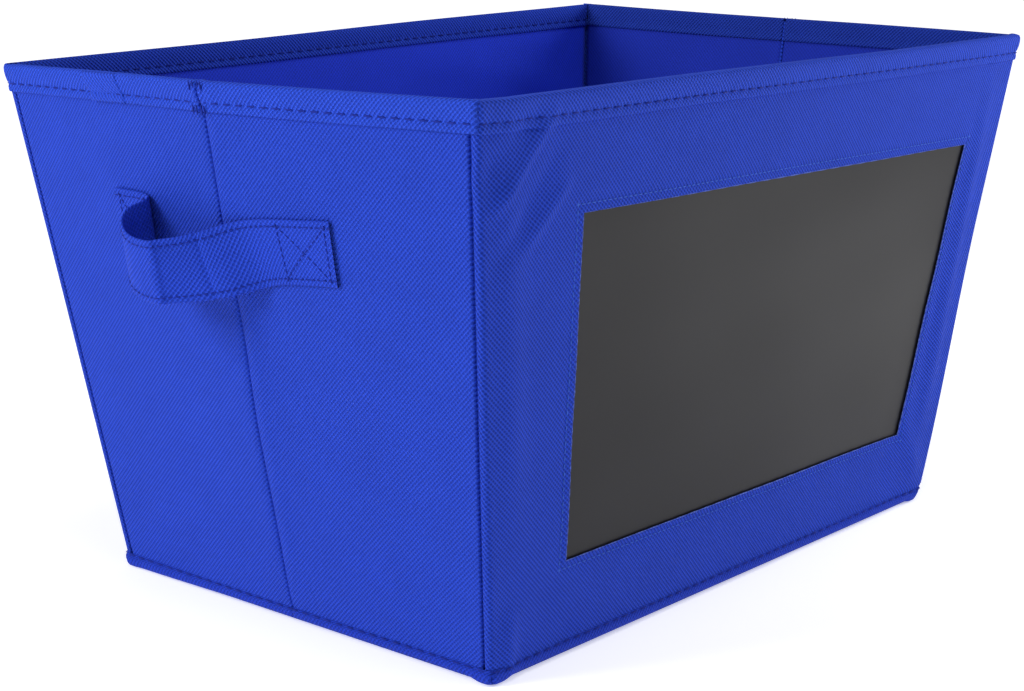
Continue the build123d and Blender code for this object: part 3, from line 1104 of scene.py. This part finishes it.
# ---- Handles ----------------------------------------------------------------------------------------
# A folded strip of the cloth 28 mm wide, edge-stitched. Its two ends are sewn flat to the end wall,
# either side of the crease, and the loop between them bows out, with one sharp bend where it was
# pressed. The strap is cut at the crease here, so that each half lies down with its own wall.
strap_cloth = cloth_material("strap_cloth", (0.0180, 0.0655, 0.620), royal_dimple, rising_rows)
handle_low, handle_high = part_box("left_handle")
strap_width = 28.5 * MM
strap_thick = 1.3 * MM
strap_middle = (handle_low.z + handle_high.z) / 2 / cos(end_tilt) + 5.0 * MM
# the strap's line seen from above: (towards the front from the crease, out from the wall), in mm
STRAP_LINE = [
    (-70, 0.9), (-62, 0.9), (-53, 0.9), (-47, 1.4), (-45, 4.5), (-45, 10), (-44.5, 16),
    (-42, 21), (-36, 24.6), (-28, 26), (-20, 26.2), (-17.2, 25.4), (-15, 23.2), (-2, 14),
    (8, 7.4), (15, 3.2), (20, 1.3), (27, 0.9), (40, 0.9), (54, 0.9), (63.5, 0.9),
]
# how far the strap hangs below the line of its sewn ends, in mm, at places along the wall
STRAP_DROOP = [
    (-70, -55, -46, -41, -32, -20, -5, 5, 15, 27, 40, 63),
    (0.2, 0.2, -0.8, -7.0, -10.7, -11.3, -10.8, -9.3, -6.6, -4.4, -3.2, -1.6),
]


def smooth_line(points, pitch):
    """Catmull-Rom through the points, then evenly spaced along its length."""
    points = np.array(points, float)
    padded = np.vstack([2 * points[0] - points[1], points, 2 * points[-1] - points[-2]])
    dense = []
    for index in range(1, len(padded) - 2):
        before, here, there, after = padded[index - 1 : index + 3]
        for share in np.linspace(0, 1, 16, endpoint=False):
            dense.append(
                0.5
                * (
                    2 * here
                    + (there - before) * share
                    + (2 * before - 5 * here + 4 * there - after) * share**2
                    + (3 * here - before - 3 * there + after) * share**3
                )
            )
    dense.append(points[-1])
    dense = np.array(dense)
    run = np.concatenate([[0], np.cumsum(np.hypot(*np.diff(dense, axis=0).T))])
    even = np.linspace(0, run[-1], int(run[-1] / pitch) + 1)
    line = np.stack([np.interp(even, run, dense[:, 0]), np.interp(even, run, dense[:, 1])], axis=-1)
    return line * MM, even * MM


strap_line, strap_run = smooth_line(STRAP_LINE, 0.8)
strap_length = strap_run[-1]
crease_index = int(np.argmin(np.abs(strap_line[:, 0])))
strap_line[crease_index, 0] = 0.0


def strap_frame(mirror):
    """The strap's centre line with the outward normal of its own face; mirror is -1 on the right."""
    step = np.gradient(strap_line, axis=0)
    step = step / np.hypot(step[:, 0], step[:, 1])[:, None]
    normal = np.stack([-step[:, 1], step[:, 0]], axis=-1)
    return strap_line[:, 0] * mirror, strap_line[:, 1], normal[:, 0] * mirror, normal[:, 1]


def strap_surface(wall, mirror, across, lift):
    """Points on the strap: across is -1 to 1 over its width, lift is how far off its middle line."""
    u, out, normal_u, normal_out = strap_frame(mirror)
    along_mm = strap_line[:, 0] / MM
    droop = np.interp(along_mm, STRAP_DROOP[0], STRAP_DROOP[1]) * MM
    droop = np.convolve(np.pad(droop, 6, "edge"), np.ones(13) / 13, "valid")
    v = strap_middle + across[:, None] * strap_width / 2 + droop[None, :]
    # the loop's lower edge meets the wall further on than its upper edge does
    slant = -5.5 * MM * across[:, None] * np.exp(-(((along_mm - 12) / 20) ** 2))[None, :]
    face_u = u[None, :] + lift[:, None] * normal_u[None, :] + mirror * slant
    face_out = out[None, :] + lift[:, None] * normal_out[None, :]
    # the sewn ends follow the wall's relief, and the loop between them keeps its own straight edges
    wall_out = relief(wall, face_u, v)
    anchor = relief(wall, u, np.full(len(u), strap_middle))
    free = soft_step(3 * MM, 9 * MM, out)
    return at(wall, face_u, v, face_out + (anchor[None, :] - wall_out) * free[None, :])


strap_ring_across = np.array([-1, -0.96, -0.88, -0.8, -0.7, -0.45, 0, 0.45, 0.7, 0.8, 0.88, 0.96])
strap_ring_plump = np.array([0.55, 0.9, 0.95, 0.7, 0.95, 1.0, 1.0, 1.0, 0.95, 0.7, 0.95, 0.9])
ring_across = np.concatenate([strap_ring_across, [1], strap_ring_across[:0:-1]])
ring_lift = np.concatenate([strap_ring_plump, [0.0], -strap_ring_plump[:0:-1]]) * strap_thick / 2
ring_lift[0] = 0

for wall, mirror, halves in (
    ("left", 1, {"left_rear": slice(0, crease_index + 1), "left_front": slice(crease_index, None)}),
    ("right", -1, {"right_rear": slice(0, crease_index + 1), "right_front": slice(crease_index, None)}),
):
    surface = strap_surface(wall, mirror, ring_across, ring_lift)
    across_uv = np.concatenate([ring_across[:13], 2 - ring_across[13:]]) * strap_width / 2
    for half, part in halves.items():
        section = np.transpose(surface[:, part], (1, 0, 2))
        run_part = strap_run[part]
        flat_uv = np.stack(np.meshgrid(across_uv, run_part), axis=-1)[..., ::-1]
        strap = cloth_grid(f"{half}_strap", section, strap_cloth, flat_uv, flip=mirror > 0, closed=True)
        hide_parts(f"{wall}_handle")
        sew_to_half(strap, half)

# ---- Stitches ---------------------------------------------------------------------------------------
# Blue polyester thread, coloured far darker than the cloth as painted shade for the needle holes it
# sinks into. One Geometry Nodes tree lays a short bar of thread at even steps along every seam line
# given to it; the seams are drawn on the same surfaces as the cloth they hold.
thread = bpy.data.materials.new("blue_thread")
thread.use_nodes = True
thread_tree = thread.node_tree
thread_shader = thread_tree.nodes["Principled BSDF"]
thread_shader.inputs["Roughness"].default_value = 0.6
thread_shader.inputs["Specular IOR Level"].default_value = 0.1
thread_place = thread_tree.nodes.new("ShaderNodeTexCoord")
thread_wave = thread_tree.nodes.new("ShaderNodeTexNoise")
thread_wave.inputs["Scale"].default_value = 900
thread_mix = thread_tree.nodes.new("ShaderNodeMix")
thread_mix.data_type = "RGBA"
# the thread's blue is darkened well below the cloth's, painted shade for the needle holes it sinks into
thread_mix.inputs["A"].default_value = (0.006, 0.016, 0.20, 1)
thread_mix.inputs["B"].default_value = (0.011, 0.028, 0.30, 1)
thread_tree.links.new(thread_place.outputs["Object"], thread_wave.inputs["Vector"])
thread_tree.links.new(thread_wave.outputs["Fac"], thread_mix.inputs["Factor"])
thread_tree.links.new(thread_mix.outputs["Result"], thread_shader.inputs["Base Color"])

stitch_tree = bpy.data.node_groups.new("running_stitch", "GeometryNodeTree")
stitch_tree.interface.new_socket("Geometry", in_out="INPUT", socket_type="NodeSocketGeometry")
for label, kind, default in (
    ("Pitch", "NodeSocketFloat", 0.003),
    ("Stitch Length", "NodeSocketFloat", 0.002),
    ("Thread Radius", "NodeSocketFloat", 0.0003),
    ("Thread", "NodeSocketMaterial", None),
):
    socket = stitch_tree.interface.new_socket(label, in_out="INPUT", socket_type=kind)
    if default is not None:
        socket.default_value = default
stitch_tree.interface.new_socket("Geometry", in_out="OUTPUT", socket_type="NodeSocketGeometry")
stitch_in = stitch_tree.nodes.new("NodeGroupInput")
stitch_out = stitch_tree.nodes.new("NodeGroupOutput")
seam_curve = stitch_tree.nodes.new("GeometryNodeMeshToCurve")
even_points = stitch_tree.nodes.new("GeometryNodeResampleCurve")
even_points.mode = "LENGTH"
bar_line = stitch_tree.nodes.new("GeometryNodeMeshUVSphere")
bar_line.inputs["Segments"].default_value = 6
bar_line.inputs["Rings"].default_value = 5
bar_line.inputs["Radius"].default_value = 1.0
bar_size = stitch_tree.nodes.new("ShaderNodeCombineXYZ")
half_bar = stitch_tree.nodes.new("ShaderNodeMath")
half_bar.operation = "DIVIDE"
half_bar.inputs[1].default_value = 2.0
tangent = stitch_tree.nodes.new("GeometryNodeInputTangent")
aim = stitch_tree.nodes.new("FunctionNodeAlignRotationToVector")
aim.axis = "Z"
lay = stitch_tree.nodes.new("GeometryNodeInstanceOnPoints")
real = stitch_tree.nodes.new("GeometryNodeRealizeInstances")
paint = stitch_tree.nodes.new("GeometryNodeSetMaterial")
link = stitch_tree.links.new
link(stitch_in.outputs["Geometry"], seam_curve.inputs["Mesh"])
link(seam_curve.outputs["Curve"], even_points.inputs["Curve"])
link(stitch_in.outputs["Pitch"], even_points.inputs["Length"])
link(stitch_in.outputs["Stitch Length"], half_bar.inputs[0])
link(stitch_in.outputs["Thread Radius"], bar_size.inputs["X"])
link(stitch_in.outputs["Thread Radius"], bar_size.inputs["Y"])
link(half_bar.outputs[0], bar_size.inputs["Z"])
link(tangent.outputs[0], aim.inputs["Vector"])
link(even_points.outputs["Curve"], lay.inputs["Points"])
link(bar_line.outputs["Mesh"], lay.inputs["Instance"])
link(aim.outputs["Rotation"], lay.inputs["Rotation"])
link(bar_size.outputs[0], lay.inputs["Scale"])
link(lay.outputs["Instances"], real.inputs["Geometry"])
link(real.outputs["Geometry"], paint.inputs["Geometry"])
link(stitch_in.outputs["Thread"], paint.inputs["Material"])
link(paint.outputs["Geometry"], stitch_out.inputs["Geometry"])
stitch_sockets = {
    item.name: item.identifier for item in stitch_tree.interface.items_tree if item.in_out == "INPUT"
}


def stitch(name, lines, pitch, length, radius=0.42 * MM, colour=thread):
    """Lays thread along lines of points and returns it as a plain mesh piece."""
    points, edges = [], []
    for line in lines:
        first = len(points)
        points += [tuple(point) for point in line]
        edges += [(first + i, first + i + 1) for i in range(len(line) - 1)]
    mesh = bpy.data.meshes.new(name + "_line")
    mesh.from_pydata(points, edges, [])
    source = bpy.data.objects.new(name + "_line", mesh)
    scene.collection.objects.link(source)
    modifier = source.modifiers.new("stitches", "NODES")
    modifier.node_group = stitch_tree
    modifier[stitch_sockets["Pitch"]] = pitch
    modifier[stitch_sockets["Stitch Length"]] = length
    modifier[stitch_sockets["Thread Radius"]] = radius
    modifier[stitch_sockets["Thread"]] = colour
    graph = bpy.context.evaluated_depsgraph_get()
    result = bpy.data.meshes.new_from_object(source.evaluated_get(graph))
    result.name = name
    bpy.data.objects.remove(source)
    result.polygons.foreach_set("use_smooth", [True] * len(result.polygons))
    result.update()
    piece = bpy.data.objects.new(name, result)
    scene.collection.objects.link(piece)
    return piece


def wall_seams(wall, side):
    """The rim row, outside and in, and the base row of one wall or half wall."""
    rim_v = slope_top(wall) - stitch_drop
    band_v = 6.3 * MM
    lines = []
    rows = [(rim_v, 0.45 * MM), (band_v, 0.55 * MM)]
    if wall != "right":
        # no inner row shows on the right end
        rows.append((rim_v, -3.95 * MM))
    for v, out in rows:
        reach = half_span(wall, v) - (2.4 * MM if side == 0 and out > 0 else 5.2 * MM)
        u = np.linspace(-reach, reach, 200) if side == 0 else side * np.linspace(1.5 * MM, reach, 90)
        lines.append(at(wall, u, np.full(len(u), v), np.full(len(u), out)))
    if side:
        # the tape is sewn down with a few upright stitches either side of the crease
        v = slope_top(wall) - np.linspace(1.5, 12.0, 12) * MM
        for place in (1.6 * MM, 3.6 * MM):
            lines.append(at(wall, np.full(12, side * place), v, np.full(12, 1.75 * MM)))
    return lines


for name, (wall, side, body) in PARTS.items():
    row = stitch(f"{name}_edge_stitches", wall_seams(wall, side), rim_stitch_pitch, 4.6 * MM)
    sew_on(row, name)


def window_seam_lines():
    """The row round the window, a few millimetres outside its edge."""
    grow = window_seam
    corners = [
        window_low_left + np.array((-grow, -grow)),
        window_low_right + np.array((grow, -grow)),
        window_high_right + np.array((grow, grow)),
        window_high_left + np.array((-grow, grow)),
    ]
    lines = []
    for start, end in zip(corners, corners[1:] + corners[:1]):
        share = np.linspace(0, 1, 120)[:, None]
        path = start + (end - start) * share
        lines.append(at("front", path[:, 0], path[:, 1], np.full(len(path), -0.1 * MM)))
    return lines


# the window's cut edge: a thin pale tube whose colour is a painted highlight along the cloth's lip
painted_edge_highlight = cloth_material("painted_edge_highlight", (0.11, 0.17, 0.62), (0.06, 0.10, 0.45), rising_rows)
edge_corners = [window_low_left, window_low_right, window_high_right, window_high_left]
edge_path = np.concatenate(
    [
        start + (end - start) * np.linspace(0, 1, 90, endpoint=False)[:, None]
        for start, end in zip(edge_corners, edge_corners[1:] + edge_corners[:1])
    ]
)
edge_angles = np.linspace(0, 2 * pi, 6, endpoint=False)
edge_centre = (window_low_left + window_high_right) / 2
edge_away = edge_path - edge_centre
edge_away = edge_away / np.hypot(edge_away[:, 0], edge_away[:, 1])[:, None]
edge_radius = 0.3 * MM * (1 + 0.35 * np.sin(np.arange(len(edge_path)) * 1.9))
edge_u = edge_path[:, 0] + np.cos(edge_angles)[:, None] * edge_radius * edge_away[:, 0]
edge_v = edge_path[:, 1] + np.cos(edge_angles)[:, None] * edge_radius * edge_away[:, 1]
edge_out = 0.1 * MM + np.sin(edge_angles)[:, None] * edge_radius
edge_points = at("front", edge_u, edge_v, edge_out)
edge_points = np.concatenate([edge_points, edge_points[:1]])
edge_uv = edge_points[..., [0, 2]]
window_edge = cloth_grid("window_edge_painted_highlight", edge_points, painted_edge_highlight, edge_uv, closed=True)
window_edge.data.validate()
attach(window_edge, "front_wall")

pale_thread = thread.copy()
pale_thread.name = "pale_blue_thread"
pale_mix = pale_thread.node_tree.nodes["Mix"]
pale_mix.inputs["A"].default_value = (0.040, 0.110, 0.52, 1)
pale_mix.inputs["B"].default_value = (0.060, 0.150, 0.62, 1)
window_row = stitch("window_stitches", window_seam_lines(), 3.4 * MM, 2.3 * MM, 0.27 * MM, pale_thread)
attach(window_row, "front_wall")

# The strap's edges are stitched from end to end, and each sewn end has a box with a cross in it.
strap_edge = 0.79


def strap_path(wall, mirror, start, end, samples=60):
    """Points on the strap's face between two ends, each given as (run along the strap, across)."""
    along = np.linspace(start[0], end[0], samples)
    across = np.linspace(start[1], end[1], samples)
    place = np.interp(along, strap_run, np.arange(len(strap_run)))
    lift = np.full(21, strap_thick / 2 + 0.1 * MM)
    surface = strap_surface(wall, mirror, np.linspace(-1, 1, 21), lift)
    row = (across + 1) * 10
    low_row = np.clip(row.astype(int), 0, 19)
    low_place = np.clip(place.astype(int), 0, len(strap_run) - 2)
    row_share, place_share = (row - low_row)[:, None], (place - low_place)[:, None]
    here = surface[:, low_place] * (1 - place_share) + surface[:, low_place + 1] * place_share
    number = np.arange(samples)
    return here[low_row, number] * (1 - row_share) + here[low_row + 1, number] * row_share


# for each half of a strap: where its edge rows start and end, then its box, as runs along the strap
crease_run = strap_run[crease_index]
STRAP_SEAMS = {
    "rear": (0.5 * MM, crease_run - 0.3 * MM, 3.0 * MM, 20 * MM),
    "front": (
        crease_run + 0.3 * MM, strap_length - 0.5 * MM, strap_length - 28.5 * MM, strap_length - 3.0 * MM
    ),
}
for wall, mirror in (("left", 1), ("right", -1)):
    for end_name, (first, last, near, far) in STRAP_SEAMS.items():
        rows = []
        for edge in (-strap_edge, strap_edge):
            rows.append(strap_path(wall, mirror, (first, edge), (last, edge), 120))
        for start, end in (
            ((near, -strap_edge), (near, strap_edge)),
            ((far, -strap_edge), (far, strap_edge)),
            ((near, -strap_edge), (far, strap_edge)),
            ((near, strap_edge), (far, -strap_edge)),
        ):
            rows.append(strap_path(wall, mirror, start, end))
        half = f"{wall}_{end_name}"
        seam = stitch(f"{half}_strap_stitches", rows, 3.1 * MM, 2.4 * MM, 0.28 * MM)
        sew_to_half(seam, half)

# ---- Corner gussets ---------------------------------------------------------------------------------
# Inside each corner seam the turned-in cloth bridges the two walls behind the seam. The front right corner
# has none across it, because the chain of walls opens there.
middle_height = 0.12
GUSSETS = {
    "left_rear": ("back_wall", "left_rear_half", "left", -1),
    "left_front": ("left_front_half", "front_wall", "left", 1),
    "right_rear": ("back_wall", "right_rear_half", "right", 1),
}
for name, (first, second, wall, side) in GUSSETS.items():
    heights = np.linspace(7 * MM, slope_top(wall) - 4 * MM, 60)
    far = half_span(wall, heights)
    shares = np.linspace(-9.0 * MM, 2.2 * MM, 18)
    u = side * (far[:, None] - wrap_depth / cos(side_tilt) + shares[None, :])
    v = np.broadcast_to(heights[:, None], u.shape)
    gusset_uv = np.stack([u, v], axis=-1)
    gusset_points = at(wall, u, v, -1.5 * MM)
    gusset = cloth_grid(f"{name}_corner_gusset", gusset_points, end_cloth, gusset_uv, flip=side < 0)
    thicken(gusset, 0.4 * MM)
    side_of_front = -1 if name == "left_front" else 1
    line_y = base_half_width + side_slope * middle_height - wrap_depth
    inner_point = (0, side_of_front * (line_y - 2.0 * MM), middle_height)
    outer_point = (0, side_of_front * (line_y + 0.8 * MM), middle_height)
    # start and end run along the end wall, square to its own corner line
    start, end = (outer_point, inner_point) if name != "left_front" else (inner_point, outer_point)
    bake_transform(gusset)
